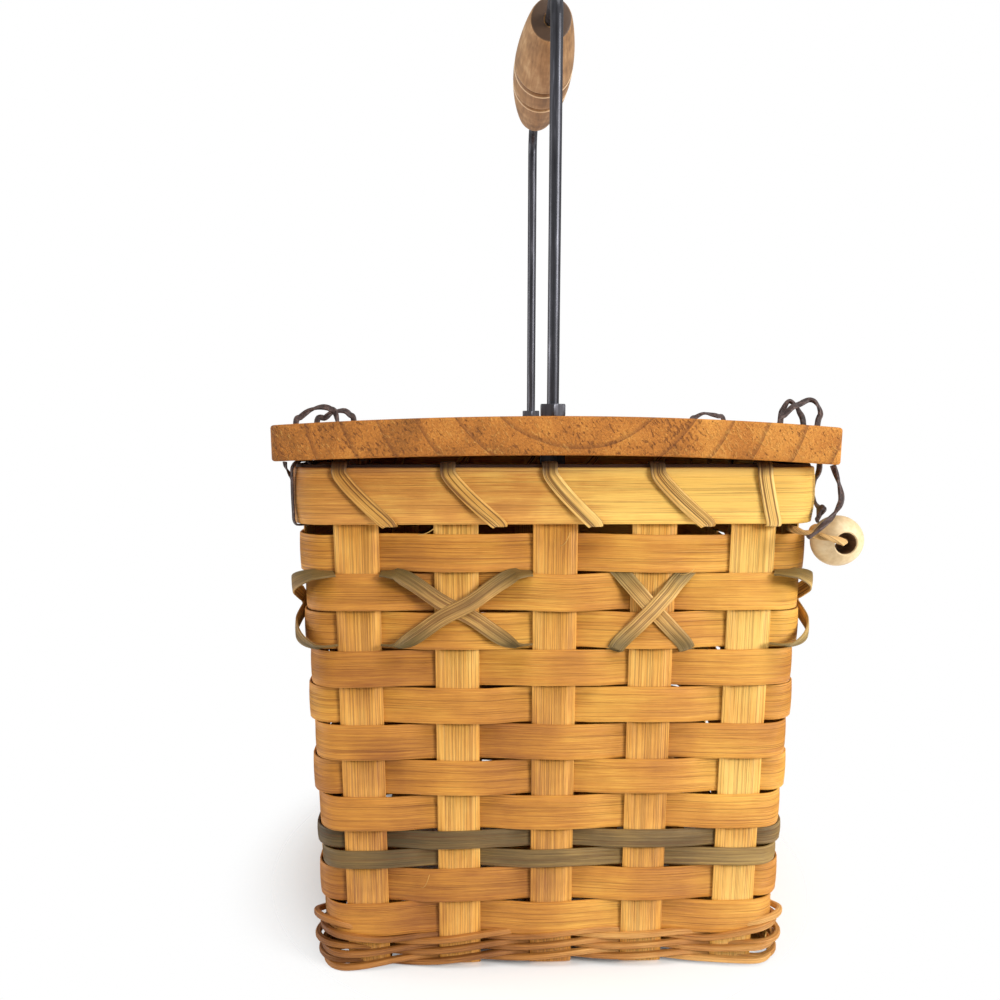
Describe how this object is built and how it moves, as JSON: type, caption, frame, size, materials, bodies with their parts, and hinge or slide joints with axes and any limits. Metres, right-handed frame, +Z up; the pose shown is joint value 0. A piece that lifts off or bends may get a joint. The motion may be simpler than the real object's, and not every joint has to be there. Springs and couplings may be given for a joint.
{
  "type": "lidded wooden basket",
  "caption": "Square woven splint basket with a hinged wooden board lid, a steel rod handle with a turned wooden grip, lace ties and a wooden bead.",
  "frame": {"origin": "on the table under the middle of the basket's base", "axes": "+X to the right as the picture shows it, +Y away from the camera, +Z up"},
  "size_m": [0.2983, 0.2929, 0.5313],
  "materials": {
    "reed": "satin flat reed",
    "green_reed": "dyed flat reed",
    "round_reed": "round reed",
    "lace": "dark lace",
    "tie": "plain reed tie",
    "board": "planed softwood board",
    "steel": "dark rod",
    "turned_wood": "turned, worn",
    "bead_wood": "smooth bead"
  },
  "bodies": {
    "basket": {"stakes_front_back": "reed", "stakes_left_right": "reed", "row_12": "reed", "row_11": "reed", "green_row_lower": "green_reed", "green_row_upper": "green_reed", "row_08": "reed", "row_07": "reed", "row_06": "reed", "row_05": "reed", "row_04": "reed", "row_03": "reed", "row_02": "reed", "row_01": "reed", "base_twining_a": "round_reed", "base_twining_b": "round_reed", "cross_strips_rising": "green_reed", "cross_strips_falling": "green_reed", "rim_outer": "reed", "rim_inner": "reed", "rim_filler": "round_reed", "rim_lashing": "reed", "hinge_lace_rim": "lace", "bead_tie": "tie"},
    "lid": {"lid_board": "board", "hinge_lace_front": "lace", "closure_lace_front": "lace", "closure_lace_rear": "lace", "handle_rod": "steel", "handle_nuts_upper": "steel", "handle_nuts_lower": "steel"},
    "grip": {"grip": "turned_wood"},
    "bead": {"bead": "bead_wood"}
  },
  "joints": [
    {"name": "lid_hinge", "type": "hinge", "parent": "basket", "child": "lid", "pos_m": [-0.1397, 0, 0.283], "axis": [0, -1, 0], "range_deg": [0, 90]},
    {"name": "grip_spin", "type": "hinge", "parent": "lid", "child": "grip", "pos_m": [0, 0, 0.5135], "axis": [0, 1, 0], "continuous": true},
    {"name": "bead_spin", "type": "hinge", "parent": "basket", "child": "bead", "pos_m": [0.1448, -0.132, 0.242], "axis": [0, 1, 0], "continuous": true}
  ]
}
